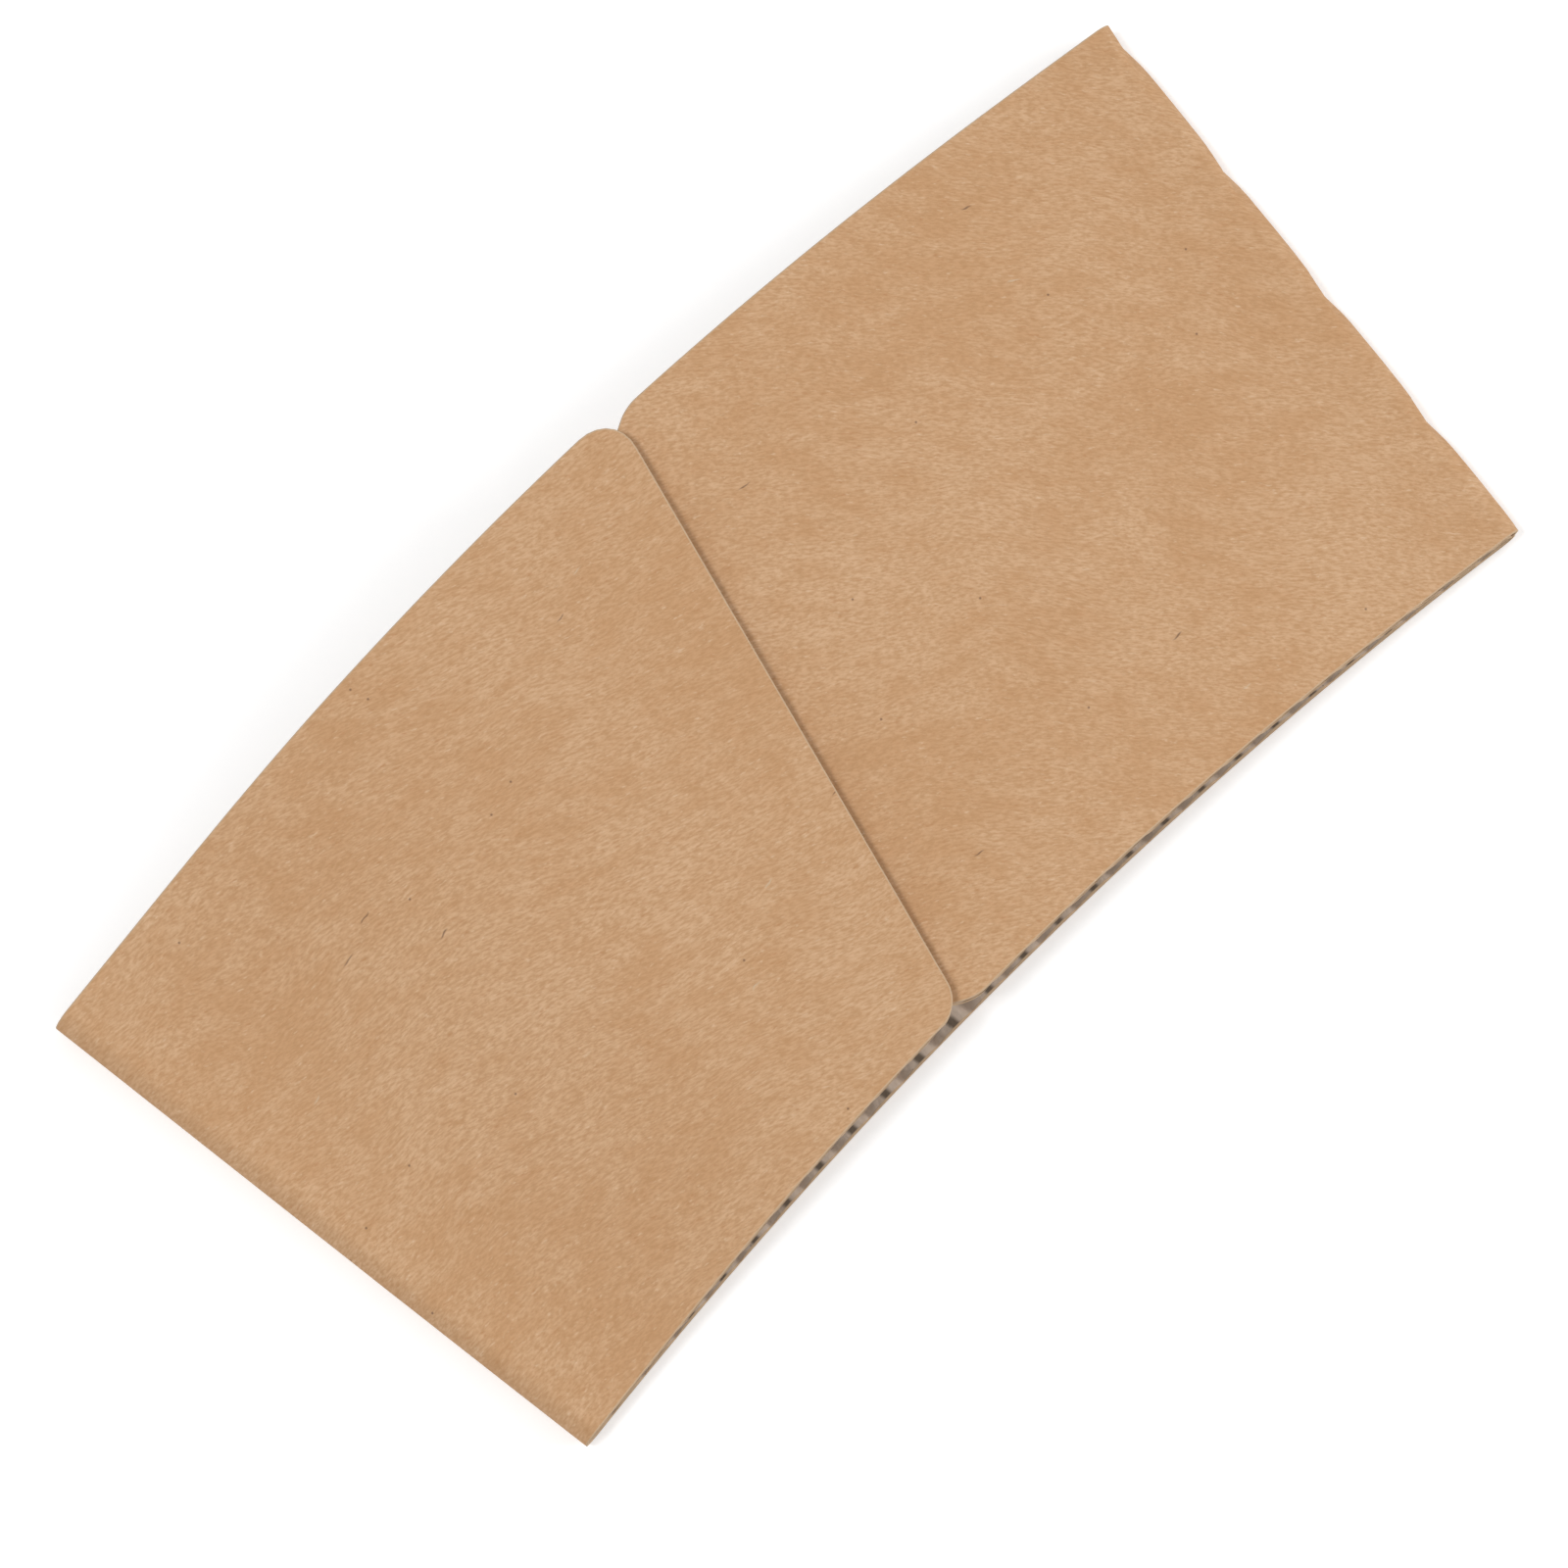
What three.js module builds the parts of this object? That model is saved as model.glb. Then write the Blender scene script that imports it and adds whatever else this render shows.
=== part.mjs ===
// Coffee cup sleeve of single-face corrugated board, lying flat as it is packed and handed out.
//
// One curved blank is die-cut, folded at two creases and glued into a ring. The board has two papers:
// a smooth kraft liner on the outside and a fluted medium inside, stuck to the liner along the
// valleys of its flutes. The flutes lean across the blank, so they run into the right crease at an
// angle and scallop it, and run almost along the left crease.
//
// The frame: the back panel lies on z = 0, +X runs from the left fold to the right fold, +Y from the
// narrow edge to the wide edge, +Z up through the bowed front with its glued lap. Millimetres.

import * as THREE from 'three';

// Blank and folds
const sleeveHeight = 60; // between the narrow and the wide edge, along the slope
const wideRadius = 530; // of the wide edge in the flat blank
const halfSpanDeg = 7; // from the middle of a panel to its fold, seen from the cone's apex
const foldRadius = 1.9; // of the liner's outer face round a fold
const bowHeight = 4.6; // rise of the front panel's middle over its folds
const glueSkewDeg = 0.3; // turn of the glued flap towards the wide edge

// Board
const linerThickness = 0.28;
const mediumThickness = 0.22;
const glueGap = 0.12; // between two papers, and between the flap and the tab under it
const fluteDepth = 1;
const flutePitch = 4.35;
const fluteLeanDeg = 9.7; // from the middle line of the back panel towards -X, going up
const flutePhase = 9.5; // of one valley from the middle of the blank, across the flutes
const foldCrush = 0.28; // share of the depth lost where a flute is bent
const crushReach = 7; // how far a crushed flute takes to recover beside a fold
const rightNotch = 0.5; // how far a fold draws in where a valley crosses it
const leftNotch = 0.1;

// Glued lap: the flap of the left panel lies over the tab of the right panel
const flapWideX = 7.4; // where the flap's edge line meets the wide edge
const flapNarrowX = -9.1; // where it meets the narrow edge
const flapCorner = 3.2;
const tabLength = 12; // hidden under the flap
const narrowTabShoulder = 2; // how far short of the flap's edge the tab starts to narrow
const wideTabShoulder = 0.8; // the same at the wide edge
const tabTaperDeg = 28;
const shoulderRadius = 4.4;
const tabCorner = 3;
const rampLength = 30; // over which the left panel climbs on to the tab
const rampClear = 4; // between the top of that climb and the tab's end

// Fineness of the mesh
const bendFacets = 8; // round one fold
const panelCreaseDeg = 1; // between the cross lines of the right front panel
const arcSteps = 60; // half the chords in each arc of the outline
const filletSteps = 5; // columns through each rounded corner
const stationGap = 0.1; // least distance between two columns
const nodeGap = 0.15; // least distance between a column's end and a crease
const fluteFractions = [0, 0.1, 0.2, 0.5, 0.8, 0.9]; // columns in one flute, as shares of the pitch
const plainFractions = [0, 0.5]; // of them, those that a flat stretch of liner needs

const rad = THREE.MathUtils.degToRad;
const midRadius = wideRadius - sleeveHeight / 2;
const narrowRadius = wideRadius - sleeveHeight;
const halfSpan = rad(halfSpanDeg);
const bendSpan = (Math.PI * (foldRadius - linerThickness)) / midRadius; // angle that one fold uses up
const lean = rad(fluteLeanDeg);
const boardThickness = linerThickness + glueGap + mediumThickness + fluteDepth;
const lapRise = boardThickness + glueGap;

// A point of the blank from its distance to the cone's apex and its angle from the middle line.
const blankPoint = (radius, angle) =>
  new THREE.Vector2(radius * Math.sin(angle), radius * Math.cos(angle) - midRadius);

// The blank angle of a point that lies at front angle `angle` once its side (-1 or 1) is folded over.
const unfolded = (side, angle) => side * (2 * halfSpan + bendSpan) - angle;

// The front angle at which the flap's edge line crosses a radius.
function flapAngle(radius) {
  const share = (radius - narrowRadius) / sleeveHeight;
  return Math.asin(THREE.MathUtils.lerp(flapNarrowX, flapWideX, share) / radius);
}

// The four corners of the tab in the blank: shoulder and end at the narrow edge, then at the wide one.
const taperDepth = (shoulder) => (shoulder + tabLength) * Math.tan(rad(tabTaperDeg));
const tabPoint = (radius, edgeRadius, offset) =>
  blankPoint(radius, unfolded(1, flapAngle(edgeRadius) + offset / edgeRadius));
const narrowShoulder = tabPoint(narrowRadius, narrowRadius, narrowTabShoulder);
const narrowTabEnd = tabPoint(
  narrowRadius + taperDepth(narrowTabShoulder), narrowRadius, -tabLength);
const wideTabEnd = tabPoint(wideRadius - taperDepth(wideTabShoulder), wideRadius, -tabLength);
const wideShoulder = tabPoint(wideRadius, wideRadius, wideTabShoulder);
const narrowFlapEnd = blankPoint(narrowRadius, unfolded(-1, flapAngle(narrowRadius)));
const wideFlapEnd = blankPoint(wideRadius, unfolded(-1, flapAngle(wideRadius)));

// Direction from one point to another, and along an arc about the apex towards +X.
const heading = (from, to) => to.clone().sub(from).normalize();
const arcHeading = (point) => {
  const fromApex = new THREE.Vector2(point.x, point.y + midRadius).normalize();
  return new THREE.Vector2(fromApex.y, -fromApex.x);
};

// Adds a rounded corner to the path, which turns left there when `left` is true.
// Returns points of the fillet, through which columns of the mesh will run.
function addCorner(path, corner, headingIn, headingOut, radius, left) {
  const turn = headingIn.angleTo(headingOut);
  const setBack = radius * Math.tan(turn / 2);
  const start = corner.clone().addScaledVector(headingIn, -setBack);
  const inward = new THREE.Vector2(-headingIn.y, headingIn.x).multiplyScalar(left ? 1 : -1);
  const centre = start.clone().addScaledVector(inward, radius);
  const startAngle = Math.atan2(start.y - centre.y, start.x - centre.x);
  const sweep = left ? turn : -turn;
  path.absarc(centre.x, centre.y, radius, startAngle, startAngle + sweep, !left);
  return Array.from({ length: filletSteps + 1 }, (_, i) => {
    const angle = startAngle + (sweep * i) / filletSteps;
    return new THREE.Vector2(
      centre.x + radius * Math.cos(angle),
      centre.y + radius * Math.sin(angle),
    );
  });
}

// Adds an arc about the apex between two blank points.
function addEdge(path, from, to) {
  const angleOf = (point) => Math.atan2(point.y + midRadius, point.x);
  const radius = Math.hypot(from.x, from.y + midRadius);
  path.absarc(0, -midRadius, radius, angleOf(from), angleOf(to), to.x > from.x);
}

// The die-cut outline, counterclockwise from the narrow edge.
const outline = new THREE.Path();
const fillets = [];
const flapUp = heading(narrowFlapEnd, wideFlapEnd);
const flapDown = flapUp.clone().negate();
const intoTab = heading(narrowShoulder, narrowTabEnd);
const upTab = heading(narrowTabEnd, wideTabEnd);
const outOfTab = heading(wideTabEnd, wideShoulder);
const setBackPoint = (corner, out, headingIn, radius) =>
  corner.clone().addScaledVector(out, radius * Math.tan(headingIn.angleTo(out) / 2));

const narrowStart = setBackPoint(narrowFlapEnd, arcHeading(narrowFlapEnd), flapDown, flapCorner);
const narrowStop = setBackPoint(
  narrowShoulder, arcHeading(narrowShoulder).negate(), intoTab.clone().negate(), shoulderRadius);
const wideStart = setBackPoint(wideShoulder, arcHeading(wideShoulder).negate(), outOfTab, shoulderRadius);
const wideStop = setBackPoint(wideFlapEnd, arcHeading(wideFlapEnd), flapUp, flapCorner);

addEdge(outline, narrowStart, narrowStop);
fillets.push(addCorner(outline, narrowShoulder, arcHeading(narrowShoulder), intoTab, shoulderRadius, true));
fillets.push(addCorner(outline, narrowTabEnd, intoTab, upTab, tabCorner, true));
fillets.push(addCorner(outline, wideTabEnd, upTab, outOfTab, tabCorner, true));
fillets.push(
  addCorner(outline, wideShoulder, outOfTab, arcHeading(wideShoulder).negate(), shoulderRadius, true));
addEdge(outline, wideStart, wideStop);
fillets.push(
  addCorner(outline, wideFlapEnd, arcHeading(wideFlapEnd).negate(), flapDown, flapCorner, true));
fillets.push(addCorner(outline, narrowFlapEnd, flapDown, arcHeading(narrowFlapEnd), flapCorner, true));
outline.closePath();

// Flute coordinates of a blank point: `across` the flutes and `along` them.
const across = (point) => point.x * Math.cos(lean) + point.y * Math.sin(lean);
const along = (point) => -point.x * Math.sin(lean) + point.y * Math.cos(lean);
const outlinePoints = outline.getPoints(arcSteps).map((point) => [across(point), along(point)]);

// Where the flute line at `q` enters and leaves the blank.
function spanAt(q) {
  const crossings = [];
  outlinePoints.forEach(([q0, t0], i) => {
    const [q1, t1] = outlinePoints[(i + 1) % outlinePoints.length];
    if (q0 <= q !== q1 <= q) crossings.push(t0 + ((t1 - t0) * (q - q0)) / (q1 - q0));
  });
  return [Math.min(...crossings), Math.max(...crossings)];
}

// Radial cross lines of the blank that get a row of vertices: the facets of both folds, the ends of
// the crushed stretch beside the right fold, and a few over the right front panel.
const bendCreases = [-1, 1].flatMap((side) =>
  Array.from({ length: bendFacets + 1 }, (_, i) => side * (halfSpan + (bendSpan * i) / bendFacets)));
const crushSpan = crushReach / midRadius;
const panelCreases = [halfSpan - crushSpan, halfSpan + bendSpan + crushSpan];
const panelStep = rad(panelCreaseDeg);
for (let angle = panelCreases[1] + panelStep; angle < 2 * halfSpan + bendSpan; angle += panelStep) {
  panelCreases.push(angle);
}
const creases = [...bendCreases, ...panelCreases];

// Where a cross line meets the flute line at `q`.
const creaseAlong = (angle, q) =>
  (q * Math.cos(lean + angle) - midRadius * Math.sin(angle)) / Math.sin(lean + angle);

// The vertices of one column: its two ends, and where cross lines pass between them.
function columnAt(q) {
  const [low, high] = spanAt(q);
  const crossings = creases
    .map((angle, i) => ({ label: i, t: creaseAlong(angle, q) }))
    .filter(({ t }) => t > low + nodeGap && t < high - nodeGap)
    .sort((a, b) => a.t - b.t);
  return [{ label: 'low', t: low }, ...crossings, { label: 'high', t: high }];
}

const crossesBend = (q) => columnAt(q).some(({ label }) => label < bendCreases.length);

// The places of the columns across the blank.
function stationsFor(fractions) {
  const reach = outlinePoints.map(([q]) => q);
  const first = Math.min(...reach) + stationGap / 2;
  const last = Math.max(...reach) - stationGap / 2;
  const list = fillets.flat().map(across);
  list.push(...bendCreases.map((angle) => across(blankPoint(midRadius, angle))));
  for (let k = Math.floor((first - flutePhase) / flutePitch); flutePhase + k * flutePitch < last; k += 1) {
    for (const fraction of fluteFractions) {
      const q = flutePhase + (k + fraction) * flutePitch;
      const inside = q > first && q < last;
      if (inside && (fractions.includes(fraction) || crossesBend(q))) list.push(q);
    }
  }
  const kept = [first];
  for (const q of list.sort((a, b) => a - b)) {
    if (q > kept.at(-1) + stationGap && q < last - stationGap) kept.push(q);
  }
  return [...kept, last];
}

// The share of the pitch by which a flute line misses the nearest valley, as an angle of one turn.
const fluteAngle = (q) => (Math.PI * (q - flutePhase)) / flutePitch;

// The flute's section: broad flattened crests and narrow valleys, 0 in a valley and 1 on a crest.
const valleySharpness = 8;
const fluteRise = (q) => 1 - Math.cos(fluteAngle(q)) ** valleySharpness;
const fluteSlope = (q) =>
  (valleySharpness * Math.cos(fluteAngle(q)) ** (valleySharpness - 1) * Math.sin(fluteAngle(q)) *
    Math.PI) / flutePitch;

// How much of a flute's depth is left at a blank angle: less in and beside a fold.
function depthLeft(angle) {
  const middle = halfSpan + bendSpan / 2;
  const away = Math.abs(Math.abs(angle) - middle) - bendSpan / 2;
  return 1 - foldCrush * (1 - THREE.MathUtils.smoothstep(away, 0, crushSpan));
}

// The top of the left panel's climb, measured in front angle from the left fold.
const tabEndAngle = Math.min(
  ...[narrowTabEnd, wideTabEnd].map((point) => unfolded(1, Math.atan2(point.x, point.y + midRadius))));
const rampTop = tabEndAngle + halfSpan - rampClear / midRadius;
const rampFoot = Math.max(rampTop - rampLength / midRadius, 0);

// Height of a front panel over the plane in which its folds leave it.
function frontRise(side, angle) {
  const share = THREE.MathUtils.clamp(angle / halfSpan, -1, 1);
  const bow = bowHeight * (1 - share * share) ** 1.5;
  const climb = side < 0 ? lapRise * THREE.MathUtils.smoothstep(angle + halfSpan, rampFoot, rampTop) : 0;
  return bow + climb;
}

// Folds the blank: takes a blank point at a height over the liner's outer face to its place.
function folded(point, height) {
  const radius = Math.hypot(point.x, point.y + midRadius);
  const angle = Math.atan2(point.x, point.y + midRadius);
  const side = angle < 0 ? -1 : 1;
  const past = Math.abs(angle) - halfSpan;
  if (past <= 0) return [point.x, point.y, height];

  const turn = Math.PI * Math.min(past / bendSpan, 1);
  const notch = (side < 0 ? leftNotch : rightNotch) * (1 - fluteRise(across(point)));
  const reach = (foldRadius - height - notch) * Math.sin(turn);
  const frontAngle = side * (halfSpan - Math.max(past - bendSpan, 0));
  const flat = blankPoint(radius, frontAngle);
  flat.x += side * reach * Math.cos(halfSpan);
  flat.y -= reach * Math.sin(halfSpan);
  if (side < 0) {
    flat.rotateAround(blankPoint(midRadius, -halfSpan), (rad(glueSkewDeg) * turn) / Math.PI);
  }
  const rise = past > bendSpan ? frontRise(side, frontAngle) : 0;
  return [flat.x, flat.y, foldRadius - (foldRadius - height) * Math.cos(turn) + rise];
}

// Joins two neighbouring columns with a band of triangles, matching rows on the same cross line.
function joinColumns(left, right, addTriangle) {
  const has = (column, from, label) => column.slice(from).some((node) => node.label === label);
  let i = 0;
  let j = 0;
  while (i < left.length - 1 || j < right.length - 1) {
    const nextLeft = left[i + 1];
    const nextRight = right[j + 1];
    let goRight = !nextLeft;
    if (nextLeft && nextRight && nextLeft.label !== nextRight.label) {
      goRight = has(right, j + 1, nextLeft.label);
      if (!goRight && !has(left, i + 1, nextRight.label)) goRight = nextRight.t < nextLeft.t;
    }
    if (goRight) {
      addTriangle(left[i], right[j], nextRight);
      j += 1;
    } else {
      addTriangle(left[i], right[j], nextLeft);
      i += 1;
    }
  }
}

// Lofts one paper of the board. `section` gives, for each of its two faces at a flute coordinate and
// a share of the flute's depth, the sideways shift and the height over the liner's outer face.
function loftPaper(name, colour, fractions, section) {
  const positions = [];
  const indices = [];
  const addVertex = (q, t, [shift, height]) => {
    const place = new THREE.Vector2(q + shift, t).rotateAround(new THREE.Vector2(), lean);
    positions.push(...folded(place, height));
    return positions.length / 3 - 1;
  };
  const columns = stationsFor(fractions).map((q) =>
    columnAt(q).map(({ label, t }) => {
      const place = new THREE.Vector2(q, t).rotateAround(new THREE.Vector2(), lean);
      const depth = depthLeft(Math.atan2(place.x, place.y + midRadius));
      const [outer, inner] = section(q, depth).map((face) => addVertex(q, t, face));
      return { label, t, outer, inner };
    }));

  const addQuad = (a, b, c, d) => indices.push(a, b, c, a, c, d);
  const addWall = (a, b) => addQuad(a.outer, b.outer, b.inner, a.inner);
  for (let i = 0; i < columns.length - 1; i += 1) {
    joinColumns(columns[i], columns[i + 1], (a, b, c) => {
      indices.push(a.inner, b.inner, c.inner, a.outer, c.outer, b.outer);
    });
    addWall(columns[i][0], columns[i + 1][0]);
    addWall(columns[i + 1].at(-1), columns[i].at(-1));
  }
  columns[0].slice(1).forEach((node, i) => addWall(node, columns[0][i]));
  columns.at(-1).slice(1).forEach((node, i) => addWall(columns.at(-1)[i], node));

  const geometry = new THREE.BufferGeometry();
  geometry.setAttribute('position', new THREE.Float32BufferAttribute(positions, 3));
  geometry.setIndex(indices);
  geometry.computeVertexNormals();
  const material = new THREE.MeshStandardMaterial({ color: colour, roughness: 0.9, metalness: 0 });
  const mesh = new THREE.Mesh(geometry, material);
  mesh.name = name;
  return mesh;
}

// The kraft liner: a smooth sheet of even thickness.
const liner = loftPaper('outer_liner', '#c8a07a', plainFractions, () => [
  [0, 0],
  [0, linerThickness],
]);

// The fluted medium: a wave of even thickness that clears the liner by the glue line.
const medium = loftPaper('fluted_medium', '#96826f', fluteFractions, (q, depth) => {
  const middle = linerThickness + glueGap + mediumThickness / 2 + fluteDepth * depth * fluteRise(q);
  const slope = fluteDepth * depth * fluteSlope(q);
  const half = mediumThickness / 2 / Math.hypot(slope, 1);
  return [
    [half * slope, middle - half],
    [-half * slope, middle + half],
  ];
});

// The origin goes under the middle of the whole sleeve.
const sleeve = new THREE.Group();
sleeve.add(liner, medium);
const extent = new THREE.Box3().setFromObject(sleeve);
const centre = extent.getCenter(new THREE.Vector3());
for (const paper of sleeve.children) paper.position.set(-centre.x, -centre.y, -extent.min.z);

export default sleeve;
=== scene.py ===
# %% [markdown]
# # A folded-flat coffee cup sleeve in Blender
#
# The sleeve is one curved blank of single-face corrugated board: a smooth kraft liner outside and a
# fluted medium inside. It is folded at two creases, glued with a slanted lap, and lies flat with its
# front panel bowed up a little. The CAD model already has both papers at their real size. Here each
# paper is made again with a finer surface, a flat map of the blank for its fibres, and paper finishes.

import math

import bmesh
import bpy
from mathutils import Matrix, Vector


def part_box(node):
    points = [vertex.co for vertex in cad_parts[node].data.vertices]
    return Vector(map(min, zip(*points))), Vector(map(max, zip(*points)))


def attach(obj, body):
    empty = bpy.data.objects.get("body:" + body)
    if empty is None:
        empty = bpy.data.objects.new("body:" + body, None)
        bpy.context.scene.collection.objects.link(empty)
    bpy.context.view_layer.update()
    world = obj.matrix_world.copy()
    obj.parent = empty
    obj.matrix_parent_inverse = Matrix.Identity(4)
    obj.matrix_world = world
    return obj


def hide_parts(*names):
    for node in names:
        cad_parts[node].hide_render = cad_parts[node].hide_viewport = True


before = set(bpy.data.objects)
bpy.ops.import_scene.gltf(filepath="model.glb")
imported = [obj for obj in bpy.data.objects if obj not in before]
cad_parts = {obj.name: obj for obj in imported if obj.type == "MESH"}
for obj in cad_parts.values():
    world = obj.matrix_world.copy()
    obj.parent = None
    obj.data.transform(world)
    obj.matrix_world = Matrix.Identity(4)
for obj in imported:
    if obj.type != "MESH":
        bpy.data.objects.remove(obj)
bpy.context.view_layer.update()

# %% [markdown]
# ## The camera
#
# The photograph looks almost straight at the front panel, with the wide edge towards the upper left.
# The sleeve can't stand on its folded edge, so it lies on the table and the camera looks down on it.
# The camera is a long lens: a distance, two small tilts away from the vertical and a roll in the
# picture are enough to place it, and they are easier to adjust than a list of matrix numbers.

# %% Place the camera
MM = 0.001
IMAGE_SIZE = 1600               # pixels across the square photograph
SENSOR = 36.0                   # millimetres
CAMERA_DISTANCE = 600.0         # millimetres from the aim point
PIXELS_PER_MM = 11.45           # at the aim point
TILT_TO_NARROW_EDGE = 7.5       # degrees
TILT_TO_LEFT_FOLD = 9.1         # degrees
ROLL = 44.0                     # degrees, by which +X climbs in the picture
AIM = (-5.2, -2.4, 5.0)         # millimetres, the point in the middle of the picture


def camera_matrix():
    """The camera looks along its own -Z, so the tilts turn it away from straight down."""
    turn = (
        Matrix.Rotation(math.radians(TILT_TO_LEFT_FOLD), 3, "Y")
        @ Matrix.Rotation(math.radians(-TILT_TO_NARROW_EDGE), 3, "X")
    )
    turn = turn.transposed() @ Matrix.Rotation(math.radians(-ROLL), 3, "Z")
    place = Vector(AIM) * MM + turn @ Vector((0.0, 0.0, CAMERA_DISTANCE * MM))
    return Matrix.Translation(place) @ turn.to_4x4()


camera_data = bpy.data.cameras.new("camera")
camera_data.sensor_width = SENSOR
camera_data.lens = SENSOR * PIXELS_PER_MM * CAMERA_DISTANCE / IMAGE_SIZE
camera_data.clip_start = 0.01
camera = bpy.data.objects.new("camera", camera_data)
camera.matrix_world = camera_matrix()
bpy.context.collection.objects.link(camera)
bpy.context.scene.camera = camera
print("lens in millimetres:", round(camera_data.lens, 1))

# %% [markdown]
# ## The sizes of the blank and the board
#
# These are the sizes that the real sleeve was made to. The blank is a piece of a flat ring, because a
# cup is a cone: its two long edges are arcs about the cone's apex, and its folds point at the apex.
# All lengths are in millimetres until a finished mesh is scaled to metres.

# %% Name the sizes
SLEEVE_HEIGHT = 60.0
WIDE_RADIUS = 530.0
HALF_SPAN = math.radians(7.0)       # from a panel's middle line to its fold
FOLD_RADIUS = 1.9
BOW_HEIGHT = 4.6
GLUE_SKEW = math.radians(0.3)

LINER_THICKNESS = 0.28
MEDIUM_THICKNESS = 0.22
GLUE_GAP = 0.12
FLUTE_DEPTH = 1.0
FLUTE_PITCH = 4.35
FLUTE_LEAN = math.radians(9.7)
FLUTE_PHASE = 9.5
VALLEY_SHARPNESS = 8
FOLD_CRUSH = 0.28
CRUSH_REACH = 7.0
RIGHT_NOTCH = 0.5
LEFT_NOTCH = 0.1

FLAP_WIDE_X = 7.4
FLAP_NARROW_X = -9.1
FLAP_CORNER = 3.2
TAB_LENGTH = 12.0
NARROW_TAB_SHOULDER = 2.0
WIDE_TAB_SHOULDER = 0.8
TAB_TAPER = math.radians(28.0)
SHOULDER_RADIUS = 4.4
TAB_CORNER = 3.0
RAMP_LENGTH = 30.0
RAMP_CLEAR = 4.0

MID_RADIUS = WIDE_RADIUS - SLEEVE_HEIGHT / 2
NARROW_RADIUS = WIDE_RADIUS - SLEEVE_HEIGHT
BEND_SPAN = math.pi * (FOLD_RADIUS - LINER_THICKNESS) / MID_RADIUS
BOARD_THICKNESS = LINER_THICKNESS + GLUE_GAP + MEDIUM_THICKNESS + FLUTE_DEPTH
LAP_RISE = BOARD_THICKNESS + GLUE_GAP
CRUSH_SPAN = CRUSH_REACH / MID_RADIUS
print("board thickness in millimetres:", round(BOARD_THICKNESS, 2))

# %% [markdown]
# ## The outline of the blank
#
# A die cuts the outline from flat board. Along the arcs an angle and a radius describe a point best,
# so the outline starts as a face with six corners in those two measures, where both arcs are straight
# lines. A vertex bevel rounds the corners. An inset leaves a narrow border for the paper that the die
# bruised. Then the long edges are divided and every point is bent to its true place, which turns the
# straight lines into arcs.


# %% Find the corners of the outline
def flap_angle(radius):
    """Front angle at which the flap's edge line crosses a radius."""
    share = (radius - NARROW_RADIUS) / SLEEVE_HEIGHT
    return math.asin((FLAP_NARROW_X + share * (FLAP_WIDE_X - FLAP_NARROW_X)) / radius)


def unfolded(side, angle):
    """Blank angle of a point that lies at a front angle once its side is folded over."""
    return side * (2 * HALF_SPAN + BEND_SPAN) - angle


def tab_angle(edge_radius, offset):
    return unfolded(1, flap_angle(edge_radius) + offset / edge_radius)


def taper_depth(shoulder):
    return (shoulder + TAB_LENGTH) * math.tan(TAB_TAPER)


CORNERS = [
    # angle, radius, corner radius: counterclockwise from the flap's end at the narrow edge
    (unfolded(-1, flap_angle(NARROW_RADIUS)), NARROW_RADIUS, FLAP_CORNER),
    (tab_angle(NARROW_RADIUS, NARROW_TAB_SHOULDER), NARROW_RADIUS, SHOULDER_RADIUS),
    (tab_angle(NARROW_RADIUS, -TAB_LENGTH),
     NARROW_RADIUS + taper_depth(NARROW_TAB_SHOULDER), TAB_CORNER),
    (tab_angle(WIDE_RADIUS, -TAB_LENGTH), WIDE_RADIUS - taper_depth(WIDE_TAB_SHOULDER), TAB_CORNER),
    (tab_angle(WIDE_RADIUS, WIDE_TAB_SHOULDER), WIDE_RADIUS, SHOULDER_RADIUS),
    (unfolded(-1, flap_angle(WIDE_RADIUS)), WIDE_RADIUS, FLAP_CORNER),
]
print("blank spans", round(math.degrees(CORNERS[3][0] - CORNERS[5][0]), 1), "degrees")

# %% Make the die-cut outline
CORNER_SEGMENTS = 7
EDGE_CUTS = 150                 # points along each long edge
CUT_BORDER = 0.12               # millimetres of bruised paper beside the cut


def polar_to_flat(point):
    """From (arc length at the middle radius, radius) to the flat blank."""
    angle = point.x / MID_RADIUS
    return Vector((point.y * math.sin(angle), point.y * math.cos(angle) - MID_RADIUS, point.z))


def cut_blank():
    """A bmesh with one flat face in the outline of the blank, in millimetres, facing +Z."""
    bm = bmesh.new()
    ring = [bm.verts.new((angle * MID_RADIUS, radius, 0.0)) for angle, radius, _ in CORNERS]
    bm.faces.new(ring)
    for vert, (_, _, corner_radius) in zip(ring, CORNERS):
        to_next = [(edge.other_vert(vert).co - vert.co).normalized() for edge in vert.link_edges]
        turn = math.pi - to_next[0].angle(to_next[1])
        bmesh.ops.bevel(
            bm, geom=[vert], affect="VERTICES", offset=corner_radius * math.tan(turn / 2),
            offset_type="OFFSET", segments=CORNER_SEGMENTS, profile=0.5, material=-1,
        )
    border = bmesh.ops.inset_region(
        bm, faces=bm.faces[:], thickness=CUT_BORDER, use_even_offset=True, use_boundary=True,
    )
    for face in border["faces"]:
        face.material_index = 1
    long_edges = [edge for edge in bm.edges if edge.calc_length() > SLEEVE_HEIGHT * 2]
    bmesh.ops.subdivide_edges(bm, edges=long_edges, cuts=EDGE_CUTS, use_grid_fill=True)
    for vert in bm.verts:
        vert.co = polar_to_flat(vert.co)
    return bm


blank = cut_blank()
print("outline points:", len(blank.verts), "area in square cm:",
      round(sum(face.calc_area() for face in blank.faces) / 100, 1))
blank.free()

# %% [markdown]
# ## Cutting the blank into facets
#
# The sheet must bend along its folds and wave across its flutes, so it needs edges exactly there.
# `bisect_plane` slices the flat blank along a line, like scoring it with a knife. Radial slices follow
# the folds and the bow of the front panel. Slices along the flutes follow crests and valleys.

# %% Slice the blank
BEND_SLICES = 14                # facets round one fold
PANEL_SLICE = math.radians(0.25)


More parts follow.
